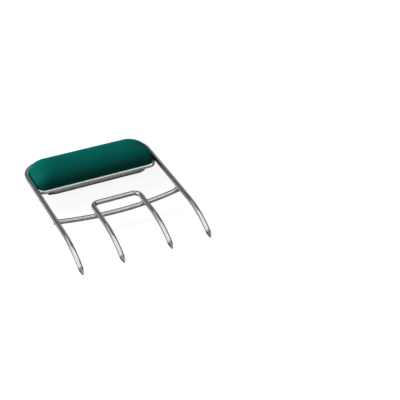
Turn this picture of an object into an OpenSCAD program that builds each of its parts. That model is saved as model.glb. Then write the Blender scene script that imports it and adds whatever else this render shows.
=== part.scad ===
// Hand lifter for roast poultry: four curved tines of bent round wire in front of a moulded grip.
// +X runs along the grip, +Y from the tines to the grip, +Z up. It stands on the floor at Z = 0,
// on its tine tips and on the sole of the grip. The origin is the middle of its footprint.

/* [Wire] */
// Diameter of every wire
wire_d = 4; // [3:0.5:4.5]
// Depth by which crossing wires sink into each other at a resistance weld
weld_sink = 0.4; // [0.2:0.1:0.8]
// Length of the ground point on each tine
tip_length = 6; // [4:0.5:8]
// Width of the blunt end of that point
tip_end_w = 1; // [0.6:0.1:2]

/* [Outer frame] */
// Spacing of the two arms, centre to centre
arm_spacing = 109.4; // [106:0.2:112]
// Distance from the back bar to the start of the tines' curve
arm_reach = 92.5; // [80:0.5:110]
// Radius of the two back corners, at the wire's centre
frame_corner_r = 16.5; // [14:0.5:20]

/* [Tines] */
// Radius of the downward curve, at the wire's centre
tine_bend_r = 69; // [55:1:85]
// Sweep of the downward curve
tine_sweep = 34.7; // [30:0.1:40]

/* [Inner fork] */
// Spacing of the two inner tines, centre to centre
fork_spacing = 41.2; // [34:0.2:48]
// Radius of the fork's two corners, at the wire's centre
fork_corner_r = 5.5; // [4:0.5:9]
// Distance from the start of the tines' curve back to the fork's bar
fork_length = 23.7; // [20:0.1:30]

/* [Cross brace] */
// Distance from the start of the tines' curve back to the brace's ends
brace_setback = 17.9; // [16:0.1:20]
// Height of the brace's bow towards the tines
brace_bow = 6.6; // [3:0.1:8]
// How far each end reaches past the middle of its arm
brace_stub = 0.5; // [0.3:0.1:1.5]

/* [Grip ring and cradle] */
// Distance from the back bar to the ring's front rail
ring_reach = 35.6; // [33:0.1:38]
// Radius of the ring's front corners, at the wire's centre
ring_corner_r = 5; // [4:0.5:8]
// Depth of the ring's middle below the frame's middle
ring_drop = 2.74; // [2.5:0.02:3]
// Outer width of the cradle wire under the ring
cradle_width = 96; // [90:0.2:98]
// Radius of the cradle's corners, at the wire's centre
cradle_corner_r = 9; // [7:0.5:10]
// How far the cradle's rails sit inside the ring's rails
cradle_inset = 1.5; // [1.2:0.1:1.8]

/* [Grip] */
// Length of the cover
grip_length = 106.6; // [105.8:0.2:107]
// Height of the cover above the frame's middle
grip_rise = 11; // [10.6:0.1:14]
// How far the cover's front laps over the middle of the ring's front rail
grip_front_lap = 1; // [0.6:0.1:1.4]
// Depth of the groove in the cover that the frame sits in
grip_groove = 0.8; // [0.4:0.1:1]
// Radius of the long top edges
grip_edge_r = 11; // [8:0.5:13]
// Radius of the top edges at the two ends
grip_end_r = 13; // [8:0.5:13]
// Radius of the two upright corners at the front
grip_front_corner_r = 9; // [8:0.2:12]
// Space left between a groove and its wire
groove_gap = 0.05; // [0.02:0.01:0.1]

/* [Core] */
// Length of the core's upper block inside the cover
core_length = 84; // [70:1:86]
// Depth of the core's upper block, front to back
core_depth = 17; // [12:0.5:20]
// Height of the core's upper block above the frame's middle
core_rise = 7; // [5:0.5:8]
// Radius of the core's lower edges at the sole
sole_edge_r = 5; // [4:0.5:6]

/* [Hidden] */
$fn = 64;
// Finer facets for the beads, which thin out to nothing where their wires close up
weld_fn = 192;
// Air left between two wires that lie against each other, and its relief in the cover
wire_clear = 0.01;
contact_relief_d = 2;
wire_r = wire_d / 2;
// Derived lengths are kept to the nearest micrometre, so that pieces of one wire meet exactly
function fine(length) = round(length * 1000) / 1000;
// Heights above the floor and places along Y, from the middle of the footprint
tip_drop = tine_bend_r * (1 - cos(tine_sweep)) + tip_end_w / 2 * cos(tine_sweep);
tip_run = tine_bend_r * sin(tine_sweep) + tip_end_w / 2 * sin(tine_sweep);
frame_z = fine(tip_drop);
overall_length = tip_run + arm_reach + wire_r;
back_y = fine(overall_length / 2 - wire_r);
tine_start_y = back_y - arm_reach;
fork_bar_y = tine_start_y + fork_length;
brace_end_y = tine_start_y + brace_setback;
brace_z = frame_z - wire_d + weld_sink;
ring_z = frame_z - ring_drop;
ring_front_y = back_y - ring_reach;
// Spacing of two wires that lie against each other. The ring nests in the frame all the way round.
touch = wire_d + wire_clear;
ring_inset = fine(sqrt(touch * touch - ring_drop * ring_drop));
ring_back_y = back_y - ring_inset;
ring_width = 2 * (arm_spacing / 2 - ring_inset + wire_r);
ring_back_corner_r = frame_corner_r - ring_inset;
cradle_drop = fine(sqrt(touch * touch - cradle_inset * cradle_inset));
cradle_z = ring_z - cradle_drop;
cradle_front_y = ring_front_y + cradle_inset;
cradle_back_y = ring_back_y - cradle_inset;
grip_front_y = ring_front_y - grip_front_lap;
grip_back_y = back_y - wire_r + grip_groove;
grip_back_corner_r = frame_corner_r - wire_r + grip_groove;
grip_depth = grip_back_y - grip_front_y;
grip_mid_y = (grip_front_y + grip_back_y) / 2;
belly_clear = 0.1;
belly_front_y = cradle_front_y + wire_r + belly_clear;
belly_back_y = cradle_back_y - wire_r - belly_clear;
belly_depth = belly_back_y - belly_front_y;
belly_length = cradle_width - 2 * wire_d - 2 * belly_clear;
belly_mid_y = (belly_front_y + belly_back_y) / 2;
belly_corner_r = cradle_corner_r - wire_r;
half_span = arm_spacing / 2;
// Bow of the brace as one arc through both ends and the middle
brace_r = fine((half_span * half_span + brace_bow * brace_bow) / (2 * brace_bow));
brace_angle = asin((half_span + brace_stub) / brace_r);
brace_middle_y = brace_end_y - brace_bow;
bead_d = 3.8;
fillet_d = 1.8;
fillet_length = 7;
// Distance from a fillet's middle to the line where its two wires touch
fillet_reach = 1.25;
ring_fillet_x = 30;
cradle_fillet_x = 32;

// A bend that starts upwards at the origin and turns towards +X
module bend(radius, angle) {
    rotate([90, 0, 180]) translate([-radius, 0, 0])
        rotate_extrude(angle = angle) translate([radius, 0]) circle(d = wire_d);
}

// A wire that starts upwards: each step is [straight length, bend radius, bend angle, roll]
module wire_run(steps, i = 0) {
    if (i < len(steps)) {
        step = steps[i];
        cylinder(h = step[0], d = wire_d);
        translate([0, 0, step[0]]) rotate([0, 0, step[3]]) {
            bend(step[1], step[2]);
            translate([step[1] * (1 - cos(step[2])), 0, step[1] * sin(step[2])])
                rotate([0, step[2], 0]) wire_run(steps, i + 1);
        }
    }
}

// Blocks that grind the end of a tine to a four-sided point, in the frame of a run's last bend
module point_grinders() {
    slope = atan((wire_d - tip_end_w) / 2 / tip_length);
    translate([tine_bend_r * (1 - cos(tine_sweep)), 0, tine_bend_r * sin(tine_sweep)])
        rotate([0, tine_sweep, 0]) for (turn = [0 : 90 : 270])
            rotate([0, 0, turn]) translate([tip_end_w / 2, 0, 0]) rotate([0, -slope, 0])
                translate([0, -wire_d, -2 * tip_length]) cube([wire_d, 2 * wire_d, 3 * tip_length]);
}

// A wire from the middle of a bar, round one corner and along an arm to its tine, on both sides
module tine_pair(bar_y, bar_half, corner_r, arm_length) {
    arm_steps = [[bar_half, corner_r, 90, 0], [arm_length, tine_bend_r, tine_sweep, 90]];
    for (side = [0, 1])
        mirror([side, 0, 0]) translate([0, bar_y, frame_z]) rotate([0, 90, 0]) rotate([0, 0, -90])
            difference() {
                wire_run(arm_steps);
                translate([corner_r + arm_length, 0, bar_half + corner_r]) rotate([0, 90, 0])
                    rotate([0, 0, 90]) point_grinders();
            }
}

module frame_solid() {
    tine_pair(back_y, half_span - frame_corner_r, frame_corner_r, arm_reach - frame_corner_r);
}

module fork_solid() {
    tine_pair(fork_bar_y, fork_spacing / 2 - fork_corner_r, fork_corner_r,
        fork_length - fork_corner_r);
}

// A closed wire lying flat, a rectangle with round corners, or the groove for it with a larger d
module wire_ring(width, front_y, back_y, front_r, back_r, z, d) {
    half_x = width / 2 - wire_r;
    for (side = [0, 1]) mirror([side, 0, 0]) {
        translate([0, front_y, z]) rotate([0, 90, 0]) cylinder(h = half_x - front_r, d = d);
        translate([0, back_y, z]) rotate([0, 90, 0]) cylinder(h = half_x - back_r, d = d);
        translate([half_x, back_y - back_r, z]) rotate([90, 0, 0])
            cylinder(h = back_y - front_y - back_r - front_r, d = d);
        translate([half_x - front_r, front_y + front_r, z]) rotate([0, 0, -90])
            rotate_extrude(angle = 90) translate([front_r, 0]) circle(d = d);
        translate([half_x - back_r, back_y - back_r, z])
            rotate_extrude(angle = 90) translate([back_r, 0]) circle(d = d);
    }
}

module outer_frame_wire() {
    color("gainsboro") frame_solid();
}

module inner_fork_wire() {
    color("gainsboro") fork_solid();
}

module brace_solid() {
    translate([0, brace_middle_y + brace_r, brace_z]) rotate([0, 0, -90 - brace_angle])
        rotate_extrude(angle = 2 * brace_angle) translate([brace_r, 0]) circle(d = wire_d);
}

// The brace, with the shallow saddles that the arms and the fork sink into
module cross_brace() {
    color("gainsboro") difference() {
        brace_solid();
        frame_solid();
        fork_solid();
    }
}

module ring_solid(d = wire_d) {
    wire_ring(ring_width, ring_front_y, ring_back_y, ring_corner_r, ring_back_corner_r, ring_z, d);
}

module cradle_solid() {
    wire_ring(cradle_width, cradle_front_y, cradle_back_y, cradle_corner_r, cradle_corner_r, cradle_z,
        wire_d);
}

module grip_ring_wire() {
    color("silver") ring_solid();
}

module cradle_wire() {
    color("silver") cradle_solid();
}

module rounded_plan(length, depth, corner_r) {
    for (side = [-1, 1]) translate([side * (length / 2 - corner_r), 0]) {
        for (end = [-1, 1]) translate([0, end * (depth / 2 - corner_r)]) circle(r = corner_r);
    }
    square([length - 2 * corner_r, depth], center = true);
    square([length, depth - 2 * corner_r], center = true);
}

// An upright outline with round upper corners, its foot on the axis
module arched_outline(width, height, corner_r) {
    translate([-width / 2, 0]) square([width, height - corner_r]);
    translate([-width / 2 + corner_r, 0]) square([width - 2 * corner_r, height]);
    for (side = [-1, 1]) translate([side * (width / 2 - corner_r), height - corner_r])
        circle(r = corner_r);
}

// The cover's plan, with sharper corners at the front
module cover_plan() {
    half_x = grip_length / 2;
    front_y = -grip_depth / 2 + grip_front_corner_r;
    back_y = grip_depth / 2 - grip_back_corner_r;
    for (side = [-1, 1]) {
        translate([side * (half_x - grip_front_corner_r), front_y]) circle(r = grip_front_corner_r);
        translate([side * (half_x - grip_back_corner_r), back_y]) circle(r = grip_back_corner_r);
    }
    translate([grip_front_corner_r - half_x, -grip_depth / 2])
        square([2 * (half_x - grip_front_corner_r), grip_front_corner_r]);
    translate([grip_back_corner_r - half_x, front_y])
        square([2 * (half_x - grip_back_corner_r), grip_depth / 2 - front_y]);
    translate([-half_x, front_y]) square([grip_length, back_y - front_y]);
}

// The cover's outer shape: where its plan and its two arched outlines meet
module loaf() {
    height = grip_rise + ring_drop;
    translate([0, grip_mid_y, ring_z]) intersection() {
        linear_extrude(height) cover_plan();
        translate([-grip_length / 2, 0, 0]) rotate([90, 0, 90]) linear_extrude(grip_length)
            arched_outline(grip_depth, height, grip_edge_r);
        translate([0, grip_depth / 2, 0]) rotate([90, 0, 0]) linear_extrude(grip_depth)
            arched_outline(grip_length, height, grip_end_r);
    }
}

module core_block() {
    translate([0, belly_mid_y, ring_z]) linear_extrude(core_rise + ring_drop)
        rounded_plan(core_length, core_depth, core_depth / 3);
}

// The belly below the cover, with a rounded lower edge and a flat sole
module belly() {
    intersection() {
        translate([0, belly_mid_y, 0]) linear_extrude(ring_z)
            rounded_plan(belly_length, belly_depth, belly_corner_r);
        translate([-belly_length / 2, belly_mid_y, ring_z]) rotate([-90, 0, -90])
            mirror([1, 0, 0]) linear_extrude(belly_length)
                arched_outline(belly_depth, ring_z, sole_edge_r);
        translate([0, belly_back_y, ring_z]) rotate([90, 0, 0]) mirror([0, 1, 0])
            linear_extrude(belly_depth) arched_outline(belly_length, ring_z, sole_edge_r);
    }
}

module grip_core() {
    color("darkslategray") union() {
        core_block();
        belly();
    }
}

// A round groove that follows the back of the frame and both arms, some way inside them
module frame_groove(inset, z, d) {
    bar_half = half_span - frame_corner_r;
    translate([-bar_half, back_y - inset, z]) rotate([0, 90, 0]) cylinder(h = 2 * bar_half, d = d);
    for (side = [0, 1]) mirror([side, 0, 0]) {
        translate([bar_half, back_y - frame_corner_r, z])
            rotate_extrude(angle = 90) translate([frame_corner_r - inset, 0]) circle(d = d);
        translate([half_span - inset, back_y - frame_corner_r, z]) rotate([90, 0, 0])
            cylinder(h = ring_reach, d = d);
    }
}

module grip_cover() {
    color([0.01, 0.32, 0.28]) difference() {
        loaf();
        core_block();
        frame_groove(0, frame_z, wire_d + 2 * groove_gap);
        ring_solid(wire_d + 2 * groove_gap);
        frame_groove(ring_inset / 2, (frame_z + ring_z) / 2, contact_relief_d);
    }
}

// The bead squeezed out where two wires cross
module crossing_bead(x, y) {
    translate([x, y, (frame_z + brace_z) / 2]) sphere(d = bead_d);
}

module brace_arm_welds() {
    $fn = weld_fn;
    color("silver") difference() {
        for (side = [-1, 1]) crossing_bead(side * half_span, brace_end_y);
        frame_solid();
        brace_solid();
    }
}

module brace_fork_welds() {
    $fn = weld_fn;
    leg_x = fork_spacing / 2;
    leg_y = brace_middle_y + brace_r - sqrt(brace_r * brace_r - leg_x * leg_x);
    color("silver") difference() {
        for (side = [-1, 1]) crossing_bead(side * leg_x, leg_y);
        fork_solid();
        brace_solid();
    }
}

// A fillet bead in the valley beside two touching wires
module fillet(x, y, z) {
    translate([x - fillet_length / 2, y, z]) rotate([0, 90, 0]) cylinder(h = fillet_length, d = fillet_d);
}

module ring_frame_welds() {
    y = (back_y + ring_back_y) / 2 + fillet_reach * ring_drop / touch;
    z = (frame_z + ring_z) / 2 - fillet_reach * ring_inset / touch;
    color("silver") difference() {
        for (x = [-ring_fillet_x, 0, ring_fillet_x]) fillet(x, y, z);
        frame_solid();
        ring_solid();
    }
}

module cradle_ring_welds() {
    inward = fillet_reach * cradle_drop / touch;
    z = (ring_z + cradle_z) / 2 + fillet_reach * cradle_inset / touch;
    color("silver") difference() {
        for (x = [-cradle_fillet_x, 0, cradle_fillet_x]) {
            fillet(x, (ring_front_y + cradle_front_y) / 2 + inward, z);
            fillet(x, (ring_back_y + cradle_back_y) / 2 - inward, z);
        }
        ring_solid();
        cradle_solid();
    }
}

outer_frame_wire();
inner_fork_wire();
cross_brace();
grip_ring_wire();
cradle_wire();
grip_core();
grip_cover();
brace_arm_welds();
brace_fork_welds();
ring_frame_welds();
cradle_ring_welds();
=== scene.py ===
"""Looks of the roast poultry lifter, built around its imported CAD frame. All lengths are in metres."""
import math

import bmesh
import bpy
from mathutils import Matrix, Vector, noise


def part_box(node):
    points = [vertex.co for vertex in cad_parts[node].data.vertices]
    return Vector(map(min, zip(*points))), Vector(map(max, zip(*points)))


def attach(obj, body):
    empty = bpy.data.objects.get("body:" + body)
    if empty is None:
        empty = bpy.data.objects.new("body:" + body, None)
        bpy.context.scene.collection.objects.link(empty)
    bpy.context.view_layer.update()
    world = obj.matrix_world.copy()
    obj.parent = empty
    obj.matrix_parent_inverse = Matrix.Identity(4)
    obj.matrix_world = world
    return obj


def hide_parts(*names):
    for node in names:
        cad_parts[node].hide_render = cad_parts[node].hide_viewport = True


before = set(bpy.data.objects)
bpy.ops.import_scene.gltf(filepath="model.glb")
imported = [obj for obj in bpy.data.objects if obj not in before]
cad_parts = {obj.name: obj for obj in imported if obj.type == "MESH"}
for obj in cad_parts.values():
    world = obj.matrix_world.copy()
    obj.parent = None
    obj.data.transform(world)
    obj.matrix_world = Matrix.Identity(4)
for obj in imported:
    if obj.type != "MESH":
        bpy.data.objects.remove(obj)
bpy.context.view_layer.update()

MM = 0.001

# CAD nodes that share a finish
WIRE_NODES = ("outer_frame_wire", "inner_fork_wire", "cross_brace")
HIDDEN_WELD_NODES = ("ring_frame_welds", "cradle_ring_welds")

# The wires' finishes: the darkest and brightest grey of the metal, and its least roughness
POLISHED = (0.70, 0.80, 0.09)
# The ring wire's greys are raised above the frame's as painted light, for its brighter highlight
BRIGHT_PAINTED_LIGHT = (0.90, 0.96, 0.09)
# The cradle wire is rougher, and its greys are darker than the frame's as painted shade from the grip
# above it
DULL_PAINTED_SHADE = (0.56, 0.66, 0.13)
# The tines' ground points begin within this band along the tool, and are rougher by this much
GROUND_EDGE = (-63.5 * MM, -62.0 * MM)
GROUND_ROUGHNESS = 0.14
# The cradle's underside is painted dark below this band of heights: painted shade under the grip
CRADLE_PAINTED_SHADE = (6.1 * MM, 7.1 * MM)

# Where the photographer stood, and how the camera was turned and zoomed
CAMERA_PLACE = Vector((-0.26975, -0.59373, 0.50528))
CAMERA_HEADING = math.radians(-30.646)
CAMERA_TILT = math.radians(-37.136)
CAMERA_ROLL = math.radians(4.246)
CAMERA_LENS_MM = 90.18
CAMERA_CLIP = (0.01, 50)

# The moulded cover at its widest: its front, half its length, its top, and the radii of its front
# and back corners seen from above
COVER_FRONT = 27.75 * MM
COVER_HALF = 52.5 * MM
COVER_TOP = 23.1 * MM
COVER_CORNERS = (7 * MM, 14.5 * MM)
# How far its top rounds over at the ends, the front and the back, how deep that rounding goes, and
# how full it is: 2 is a quarter of an ellipse, and more is squarer
COVER_ROUND = (21.8 * MM, 17.4 * MM, 16.8 * MM)
COVER_DEEP = 8.4 * MM
COVER_FULLNESS = 2.3
# How much higher the rounding starts at the front, and how much less full it is there
FRONT_LIFT = 1.5 * MM
FRONT_SLACK = 0.3
# The corners of the small flat crown that the rounding leaves
CROWN_CORNER = 0.9 * MM
# How far the cover draws in below its widest, towards the wires
COVER_UNDERCUT = 1.8 * MM
# Steps up the drawn-in side, over the rounding, round each corner and along each straight edge
SIDE_STEPS = 8
ROUNDING_STEPS = 24
CORNER_STEPS = 20
EDGE_STEPS = 12

# Half the width of a CAD bead, and the beads that stand for them at the crossings: the CAD node,
# how far each bead sits inwards of the CAD one, and its three radii
CROSSING_BEAD = 1.9 * MM
CROSSINGS = (
    ("brace_arm_welds", 1.0 * MM, (2.3 * MM, 2.2 * MM, 1.6 * MM)),
    ("brace_fork_welds", 0.0, (2.4 * MM, 2.3 * MM, 1.6 * MM)),
)
# A bead's rings and points round a ring, its lumps' height and closeness, and the same for the
# ripples that the torch leaves
BEAD_RINGS = 24
BEAD_TURNS = 32
LUMP_HEIGHT, LUMP_CLOSENESS = 0.05, 2.1
RIPPLE_HEIGHT, RIPPLE_CLOSENESS = 0.03, 9
BEAD_SEED_STEP = 3.7

FLOOR_HALF = 6.0
# The even light on everything, and the studio's brightness as the wires mirror it
AMBIENT = 0.04
STUDIO_DIM = 0.07
# Soft glows that only show in reflections: the direction to each, how squarely a reflection has to
# point at it for it to begin and to be full, where 1 is straight at it, and its brightness
STUDIO_GLOWS = (
    ((-0.75, 0.65, -0.1), 0.74, 0.96, 0.34),
    ((-0.41, 0.75, -0.5), 0.93, 0.985, 0.24),
    ((0.3, -0.85, -0.42), 0.7, 0.92, 0.16),
    ((0.52, 0.7, 0.48), 0.88, 0.99, 0.3),
)


# ---------------------------------------------------------------------------------------------
# Node building
# ---------------------------------------------------------------------------------------------

def math_node(tree, operation, first, second):
    """An operation on two values, each of them a number or a socket."""
    node = tree.nodes.new("ShaderNodeMath")
    node.operation = operation
    for socket, value in zip(node.inputs, (first, second)):
        if isinstance(value, (int, float)):
            socket.default_value = value
        else:
            tree.links.new(value, socket)
    return node.outputs[0]


class Nodes:
    """A short way to write a material's node tree."""

    def __init__(self, name):
        self.material = bpy.data.materials.new(name)
        self.material.use_nodes = True
        self.tree = self.material.node_tree
        self.tree.nodes.clear()
        self.output = self.tree.nodes.new("ShaderNodeOutputMaterial")
        self.shader = self.tree.nodes.new("ShaderNodeBsdfPrincipled")
        self.link(self.shader.outputs[0], self.output.inputs[0])
        self.place = self.tree.nodes.new("ShaderNodeTexCoord").outputs["Object"]

    def link(self, source, target):
        self.tree.links.new(source, target)

    def set(self, **values):
        """Sets the shader's sockets to plain numbers, named with _ for a space."""
        for name, value in values.items():
            self.shader.inputs[name.replace("_", " ")].default_value = value

    def feed(self, name, source):
        """Links a socket to one of the shader's inputs."""
        self.link(source, self.shader.inputs[name])

    def along(self, axis):
        """How far along an axis of the row frame a point lies, in metres."""
        node = self.tree.nodes.new("ShaderNodeSeparateXYZ")
        self.link(self.place, node.inputs[0])
        return node.outputs[axis]

    def stretched(self, scale):
        """The place in the row frame, stretched by a scale along each axis."""
        node = self.tree.nodes.new("ShaderNodeMapping")
        node.inputs["Scale"].default_value = scale
        self.link(self.place, node.inputs["Vector"])
        return node.outputs[0]

    def noise(self, size, detail=3.0, stretch=(1, 1, 1)):
        """Noise with features of about a size in metres."""
        node = self.tree.nodes.new("ShaderNodeTexNoise")
        node.inputs["Scale"].default_value = 1 / size
        node.inputs["Detail"].default_value = detail
        self.link(self.stretched(stretch), node.inputs["Vector"])
        return node.outputs["Fac"]

    def ramp(self, factor, low, high, start=0.35, end=0.65):
        """Colours from low to high as a factor goes from start to end."""
        node = self.tree.nodes.new("ShaderNodeValToRGB")
        node.color_ramp.elements[0].position = start
        node.color_ramp.elements[0].color = (*low, 1)
        node.color_ramp.elements[1].position = end
        node.color_ramp.elements[1].color = (*high, 1)
        self.link(factor, node.inputs[0])
        return node.outputs[0]

    def span(self, factor, low, high, start=0.3, end=0.7):
        """A number from low to high as a factor goes from start to end."""
        node = self.tree.nodes.new("ShaderNodeMapRange")
        for name, value in (("From Min", start), ("From Max", end), ("To Min", low), ("To Max", high)):
            node.inputs[name].default_value = value
        self.link(factor, node.inputs["Value"])
        return node.outputs[0]

    def mix(self, factor, low, high):
        """A colour between two others."""
        node = self.tree.nodes.new("ShaderNodeMix")
        node.data_type = "RGBA"
        self.link(factor, node.inputs[0])
        self.link(low, node.inputs[6])
        self.link(high, node.inputs[7])
        return node.outputs[2]

    def math(self, operation, first, second):
        return math_node(self.tree, operation, first, second)

    def bump(self, height, depth, under=None):
        """A bump of a height map whose full range is a depth in metres, on top of another bump."""
        node = self.tree.nodes.new("ShaderNodeBump")
        node.inputs["Strength"].default_value = 1.0
        node.inputs["Distance"].default_value = depth
        self.link(height, node.inputs["Height"])
        if under is not None:
            self.link(under, node.inputs["Normal"])
        return node.outputs[0]


# ---------------------------------------------------------------------------------------------
# Materials
# ---------------------------------------------------------------------------------------------

def drawn_wire(name, dark, light, rough, painted_shade_band=None):
    """Drawn wire between two greys, hazy and finely lined, with ground points and maybe painted shade
    below a band of heights.
    """
    m = Nodes(name)
    m.set(Metallic=1.0)
    haze = m.noise(6 * MM, detail=4.0)
    drawn = m.ramp(haze, (dark, dark, dark + 0.01), (light, light, light))
    ground = m.ramp(m.noise(0.8 * MM), (0.24, 0.24, 0.25), (0.36, 0.36, 0.36))
    tip = m.span(m.along("Y"), 1, 0, *GROUND_EDGE)
    metal = m.mix(tip, drawn, ground)
    if painted_shade_band:
        # Painted shade: below the band of heights the wire's grey gives way to a near-black one
        painted_shade_grey = m.ramp(haze, (0.07, 0.07, 0.07), (0.10, 0.10, 0.10))
        metal = m.mix(m.span(m.along("Z"), 0, 1, *painted_shade_band), painted_shade_grey, metal)
    m.feed("Base Color", metal)
    lines = m.noise(0.12 * MM, detail=2.0, stretch=(0.04, 0.04, 1))
    sheen = m.math("ADD", m.span(haze, rough, rough + 0.07), m.span(lines, -0.02, 0.03))
    m.feed("Roughness", m.math("ADD", sheen, m.math("MULTIPLY", tip, GROUND_ROUGHNESS)))
    ripple = m.bump(m.noise(3.5 * MM, detail=1.0), 0.004 * MM)
    m.feed("Normal", m.bump(lines, 0.0006 * MM, under=ripple))
    return m.material


def weld_metal():
    """Fused metal, duller than the wire, with straw and blue heat tint."""
    m = Nodes("weld_metal")
    m.set(Metallic=1.0)
    tint = m.noise(1.6 * MM, detail=3.0)
    steel = m.ramp(tint, (0.50, 0.47, 0.43), (0.62, 0.61, 0.60))
    blue = m.ramp(tint, (0.36, 0.38, 0.46), (0.55, 0.54, 0.52))
    m.feed("Base Color", m.mix(m.span(m.noise(2.3 * MM), 0, 1, 0.55, 0.7), steel, blue))
    m.feed("Roughness", m.span(m.noise(0.5 * MM), 0.28, 0.42))
    m.feed("Normal", m.bump(m.noise(0.4 * MM, detail=4.0), 0.03 * MM))
    return m.material


def soft_rubber():
    """Dark teal moulded rubber with a satin skin."""
    m = Nodes("soft_rubber")
    m.set(IOR=1.5, Specular_IOR_Level=0.05)
    cloud = m.noise(14 * MM, detail=4.0)
    m.feed("Base Color", m.ramp(cloud, (0.0010, 0.155, 0.128), (0.0014, 0.176, 0.149)))
    grain = m.noise(0.22 * MM, detail=3.0)
    m.feed("Roughness", m.math("ADD", m.span(cloud, 0.46, 0.54), m.span(grain, -0.03, 0.03)))
    m.feed("Normal", m.bump(grain, 0.012 * MM, under=m.bump(m.noise(5 * MM), 0.05 * MM)))
    return m.material


def hard_core():
    """Dark moulded plastic with a spark-eroded matte texture."""
    m = Nodes("hard_core")
    m.set(IOR=1.5)
    grain = m.noise(0.35 * MM, detail=5.0)
    m.feed("Base Color", m.ramp(m.noise(9 * MM), (0.010, 0.026, 0.024), (0.015, 0.034, 0.031)))
    m.feed("Roughness", m.span(grain, 0.55, 0.72))
    m.feed("Normal", m.bump(grain, 0.03 * MM))
    return m.material


def pale_paper():
    """The plain sweep of paper that the lifter stands on."""
    m = Nodes("pale_paper")
    m.set(Roughness=0.9)
    m.feed("Base Color", m.ramp(m.noise(90 * MM), (0.29, 0.29, 0.29), (0.31, 0.31, 0.31)))
    m.set(Emission_Color=(1, 1, 1, 1), Emission_Strength=0.9)
    return m.material


# ---------------------------------------------------------------------------------------------
# Pieces
# ---------------------------------------------------------------------------------------------

def corner_points(x, y, radius, start):
    """Points on a quarter circle round a middle, from a start angle in quarter turns."""
    angles = [math.pi / 2 * (start + i / CORNER_STEPS) for i in range(CORNER_STEPS + 1)]
    return [(x + radius * math.cos(a), y + radius * math.sin(a)) for a in angles]


def outline(half_x, front, back, front_r, back_r):
    """Points round a rectangle with round corners, anticlockwise seen from above."""
    corners = (
        (half_x - back_r, back - back_r, back_r),
        (back_r - half_x, back - back_r, back_r),
        (front_r - half_x, front + front_r, front_r),
        (half_x - front_r, front + front_r, front_r),
    )
    arcs = [corner_points(*corner, start) for start, corner in enumerate(corners)]
    points = []
    for arc, following in zip(arcs, arcs[1:] + arcs[:1]):
        points += arc
        (x0, y0), (x1, y1) = arc[-1], following[0]
        for k in range(1, EDGE_STEPS):
            points.append((x0 + (x1 - x0) * k / EDGE_STEPS, y0 + (y1 - y0) * k / EDGE_STEPS))
    return points


def cover_point(foot, crown, turn, low_z):
    """A point of the cover's skin: turn is 0 to 1 up the drawn-in side, and 1 to 2 over the rounding."""
    frontness = max(0, (crown[1] - foot[1]) / COVER_ROUND[1])
    belt_z = COVER_TOP - COVER_DEEP + FRONT_LIFT * frontness
    if turn < 1:
        return (*foot, low_z + (belt_z - low_z) * turn)
    power = 2 / (COVER_FULLNESS - FRONT_SLACK * frontness)
    angle = math.pi / 2 * (turn - 1)
    out = abs(math.cos(angle)) ** power
    up = math.sin(angle) ** power
    x, y = (c + (f - c) * out for f, c in zip(foot, crown))
    return (x, y, belt_z + (COVER_TOP - belt_z) * up)


def cover_rings(low, high):
    """Rings of points from the cover's foot up over its rounding to its flat crown."""
    end, front, back = COVER_ROUND
    crown = outline(COVER_HALF - end, COVER_FRONT + front, high.y - back, CROWN_CORNER, CROWN_CORNER)
    turns = [step / SIDE_STEPS for step in range(SIDE_STEPS)]
    turns += [1 + step / ROUNDING_STEPS for step in range(ROUNDING_STEPS + 1)]
    rings = []
    for turn in turns:
        inset = COVER_UNDERCUT * (1 - math.sin(math.pi / 2 * min(turn, 1)))
        front_r, back_r = (radius - inset for radius in COVER_CORNERS)
        foot = outline(COVER_HALF - inset, COVER_FRONT + inset, high.y - inset, front_r, back_r)
        rings.append([cover_point(f, c, turn, low.z) for f, c in zip(foot, crown)])
    return rings


def link_piece(name, body, material, node):
    """Turns finished mesh code into a smooth piece that stands for a CAD node."""
    bmesh.ops.remove_doubles(body, verts=body.verts, dist=1e-6)
    for face in body.faces:
        face.smooth = True
    mesh = bpy.data.meshes.new(name)
    body.to_mesh(mesh)
    body.free()
    mesh.materials.append(material)
    piece = bpy.data.objects.new(name, mesh)
    bpy.context.scene.collection.objects.link(piece)
    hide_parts(node)
    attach(piece, "root")


def skin_rings(body, rings):
    """Quads between closed rings of vertices, with a lid on each end."""
    for lower, upper in zip(rings, rings[1:]):
        for i in range(len(lower)):
            j = (i + 1) % len(lower)
            body.faces.new((lower[i], lower[j], upper[j], upper[i]))
    body.faces.new(list(reversed(rings[0])))
    body.faces.new(rings[-1])


def grip_piece(material):
    """The moulded cover: a loaf whose long edges and ends fall away in one soft curve."""
    low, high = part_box("grip_cover")
    body = bmesh.new()
    rings = []
    for points in cover_rings(low, high):
        rings.append([body.verts.new(point) for point in points])
    skin_rings(body, rings)
    link_piece("grip_cover_skin", body, material, "grip_cover")


def bead_reach(way, seed):
    """How far a bead's skin stands out in a direction, where 1 is a plain ellipsoid."""
    lump = 1 + LUMP_HEIGHT * noise.noise(way * LUMP_CLOSENESS + Vector((seed, 0, 0)))
    ripple = 1 + RIPPLE_HEIGHT * math.sin(RIPPLE_CLOSENESS * way.x + seed)
    return lump * ripple


def bead(body, middle, radii, seed):
    """One blob of fused metal, a little uneven, that the wires run through."""
    rows = []
    for ring in range(1, BEAD_RINGS):
        lift = math.pi * ring / BEAD_RINGS
        row = []
        for turn in range(BEAD_TURNS):
            around = 2 * math.pi * turn / BEAD_TURNS
            side = math.sin(lift)
            way = Vector((math.cos(lift), side * math.cos(around), side * math.sin(around)))
            reach = bead_reach(way, seed)
            row.append(body.verts.new([m + r * w * reach for m, r, w in zip(middle, radii, way)]))
        rows.append(row)
    skin_rings(body, rows)


def bead_piece(name, node, radii, places, material):
    """A row of beads in the places of a node's solids."""
    body = bmesh.new()
    for count, place in enumerate(places):
        bead(body, place, radii, count * BEAD_SEED_STEP)
    link_piece(name, body, material, node)


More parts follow.
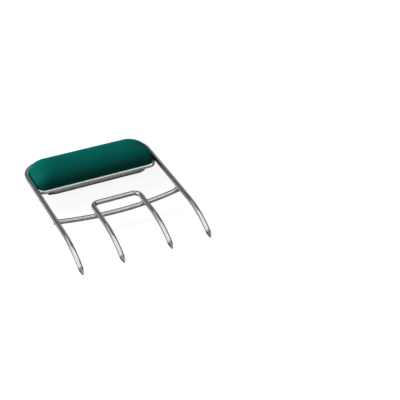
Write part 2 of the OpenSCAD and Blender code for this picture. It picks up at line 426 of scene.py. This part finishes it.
def crossing_places(node, inward):
    """The middles of two beads, left and right, from their node's box."""
    low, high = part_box(node)
    x = high.x - CROSSING_BEAD - inward
    return [(side * x, (low.y + high.y) / 2, (low.z + high.z) / 2) for side in (-1, 1)]


def dress(names, material):
    """Gives CAD nodes their material."""
    for name in names:
        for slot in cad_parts[name].material_slots:
            slot.material = material


# ---------------------------------------------------------------------------------------------
# Studio
# ---------------------------------------------------------------------------------------------

def floor(material):
    """A wide pale floor. It lights nothing, so the dark studio shows in the wires from below."""
    mesh = bpy.data.meshes.new("studio_floor")
    half = FLOOR_HALF
    corners = [(-half, -half, 0), (half, -half, 0), (half, half, 0), (-half, half, 0)]
    mesh.from_pydata(corners, [], [(0, 1, 2, 3)])
    mesh.materials.append(material)
    piece = bpy.data.objects.new("studio_floor", mesh)
    bpy.context.scene.collection.objects.link(piece)
    piece.visible_glossy = False
    piece.visible_diffuse = False


def softbox(name, place, size, watts, aim=(0, 0, 0), lights=True, mirrored=True):
    """A soft rectangular light that faces a point. It can be kept out of the light or the mirrors."""
    light = bpy.data.lights.new(name, "AREA")
    light.shape = "RECTANGLE"
    light.size, light.size_y = size
    light.energy = watts
    lamp = bpy.data.objects.new(name, light)
    lamp.location = place
    lamp.rotation_euler = (Vector(aim) - Vector(place)).to_track_quat("-Z", "Y").to_euler()
    lamp.visible_diffuse = lights
    lamp.visible_glossy = mirrored
    bpy.context.scene.collection.objects.link(lamp)


def studio_lights():
    """A soft light from the back left, another at the left, and cards that the wires mirror."""
    softbox("key_softbox", (-0.45, 0.95, 0.57), (0.7, 0.7), watts=13.2, mirrored=False)
    softbox("left_softbox", (-1.0, -0.2, 0.4), (1.4, 1.0), watts=4.0)
    softbox("overhead_card", (0, -0.06, 1.0), (2.0, 0.6), watts=3.7, aim=(0, -0.06, 0), lights=False)
    softbox("back_left_card", (-0.65, 0.5, 1.0), (0.8, 0.5), watts=1.3, aim=(-0.65, 0.5, 0), lights=False)
    softbox("front_card", (0.35, -0.67, 0.66), (1.6, 0.3), watts=1.9, lights=False)


def glow_node(tree, way, start, full, brightness):
    """A glow in the world that grows from start to full as a direction turns towards its own."""
    place = tree.nodes.new("ShaderNodeTexCoord")
    facing = tree.nodes.new("ShaderNodeVectorMath")
    facing.operation = "DOT_PRODUCT"
    facing.inputs[1].default_value = Vector(way).normalized()
    share = tree.nodes.new("ShaderNodeMapRange")
    share.inputs["From Min"].default_value = -1
    ramp = tree.nodes.new("ShaderNodeValToRGB")
    for element, along, glow in zip(ramp.color_ramp.elements, (start, full), (0.0, brightness)):
        element.position = (along + 1) / 2
        element.color = (glow, glow, glow, 1)
    tree.links.new(place.outputs["Generated"], facing.inputs[0])
    tree.links.new(facing.outputs["Value"], share.inputs["Value"])
    tree.links.new(share.outputs[0], ramp.inputs[0])
    return ramp.outputs[0]


def studio_world():
    """A faint even light, with a dim studio and its glows that only the wires' mirrors see."""
    world = bpy.data.worlds.new("studio")
    world.use_nodes = True
    tree = world.node_tree
    seen = STUDIO_DIM
    for glow in STUDIO_GLOWS:
        seen = math_node(tree, "ADD", glow_node(tree, *glow), seen)
    path = tree.nodes.new("ShaderNodeLightPath")
    shown = math_node(tree, "MULTIPLY", seen, path.outputs["Is Glossy Ray"])
    total = math_node(tree, "MAXIMUM", shown, AMBIENT)
    tree.links.new(total, tree.nodes["Background"].inputs[0])
    bpy.context.scene.world = world


def camera():
    """The camera that the photograph was taken with."""
    data = bpy.data.cameras.new("photo_camera")
    data.lens = CAMERA_LENS_MM
    data.clip_start, data.clip_end = CAMERA_CLIP
    piece = bpy.data.objects.new("photo_camera", data)
    piece.matrix_world = (
        Matrix.Translation(CAMERA_PLACE)
        @ Matrix.Rotation(CAMERA_HEADING, 4, "Z")
        @ Matrix.Rotation(math.pi / 2 + CAMERA_TILT, 4, "X")
        @ Matrix.Rotation(CAMERA_ROLL, 4, "Z")
    )
    bpy.context.scene.collection.objects.link(piece)
    bpy.context.scene.camera = piece


weld = weld_metal()
dress(WIRE_NODES, drawn_wire("polished_wire", *POLISHED))
# The ring wire's lighter greys are painted light
dress(("grip_ring_wire",), drawn_wire("painted_light_ring_wire", *BRIGHT_PAINTED_LIGHT))
# The cradle wire's darker greys and black underside are painted shade
dress(("cradle_wire",), drawn_wire("dull_shaded_cradle_wire", *DULL_PAINTED_SHADE, CRADLE_PAINTED_SHADE))
dress(HIDDEN_WELD_NODES, weld)
dress(("grip_core",), hard_core())
grip_piece(soft_rubber())
for crossing, inward, radii in CROSSINGS:
    bead_piece(crossing + "_skin", crossing, radii, crossing_places(crossing, inward), weld)
floor(pale_paper())
studio_lights()
studio_world()
camera()
bpy.context.scene.view_settings.view_transform = "Standard"
